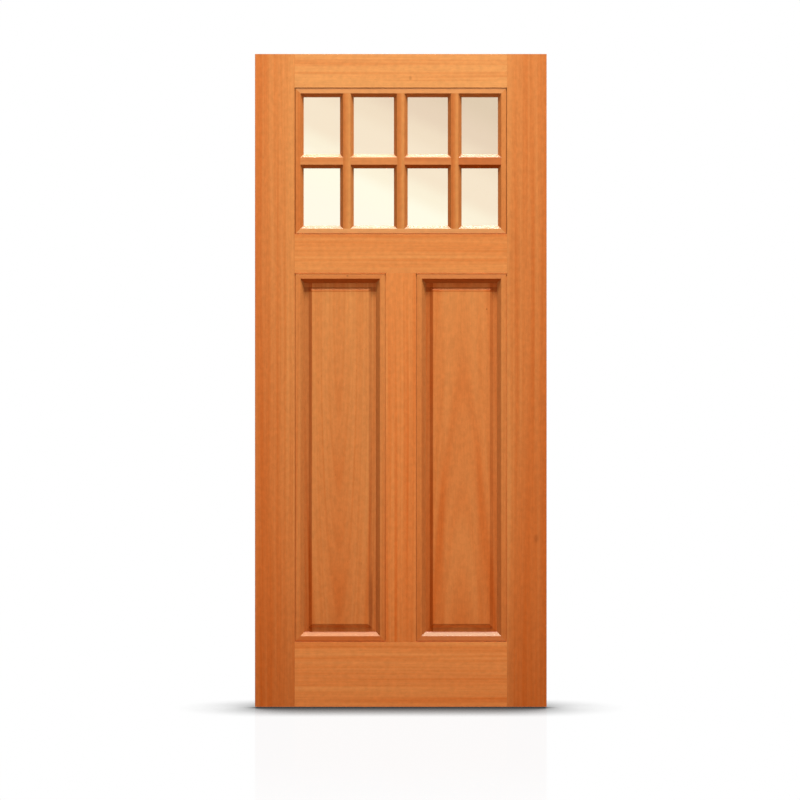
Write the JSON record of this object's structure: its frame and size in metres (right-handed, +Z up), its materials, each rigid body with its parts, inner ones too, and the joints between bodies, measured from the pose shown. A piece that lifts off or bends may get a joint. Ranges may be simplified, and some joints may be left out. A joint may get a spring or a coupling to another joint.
{
  "type": "front door slab",
  "caption": "Solid wood exterior door slab with a row-divided glazed light over tall raised and fielded panels, framed by stiles, rails and a centre mullion with mitred mouldings.",
  "frame": {"origin": "foot of the hinge edge, midway through the thickness", "axes": "+Z up along the height, +X across the width from the hinge edge to the lock edge, front face towards -Y"},
  "size_m": [0.9081, 0.0444, 2.032],
  "materials": {
    "stile_wood": "reddish softwood, straight grain, satin clear varnish",
    "rail_wood": "reddish softwood, straight grain, satin clear varnish",
    "panel_wood": "reddish softwood, straight grain, satin clear varnish",
    "moulding_wood": "reddish softwood, straight grain, satin clear varnish",
    "bar_wood": "reddish softwood, straight grain, satin clear varnish",
    "glass": "clear, polished, bevelled round the front edge"
  },
  "bodies": {
    "root": {"left_stile": "stile_wood", "right_stile": "stile_wood", "center_mullion": "stile_wood", "top_rail": "rail_wood", "middle_rail": "rail_wood", "bottom_rail": "rail_wood", "left_panel": "panel_wood", "right_panel": "panel_wood", "light_moulding_front_sides": "moulding_wood", "light_moulding_front_ends": "moulding_wood", "light_moulding_back_sides": "moulding_wood", "light_moulding_back_ends": "moulding_wood", "left_panel_moulding_front_sides": "moulding_wood", "left_panel_moulding_front_ends": "moulding_wood", "left_panel_moulding_back_sides": "moulding_wood", "left_panel_moulding_back_ends": "moulding_wood", "right_panel_moulding_front_sides": "moulding_wood", "right_panel_moulding_front_ends": "moulding_wood", "right_panel_moulding_back_sides": "moulding_wood", "right_panel_moulding_back_ends": "moulding_wood", "upright_bar_1": "bar_wood", "upright_bar_2": "bar_wood", "upright_bar_3": "bar_wood", "crossbar_1": "bar_wood", "crossbar_2": "bar_wood", "crossbar_3": "bar_wood", "crossbar_4": "bar_wood", "glazing_beads_uprights": "bar_wood", "glazing_beads_levels": "bar_wood", "glass_upper_1": "glass", "glass_upper_2": "glass", "glass_upper_3": "glass", "glass_upper_4": "glass", "glass_lower_1": "glass", "glass_lower_2": "glass", "glass_lower_3": "glass", "glass_lower_4": "glass"}
  },
  "joints": []
}
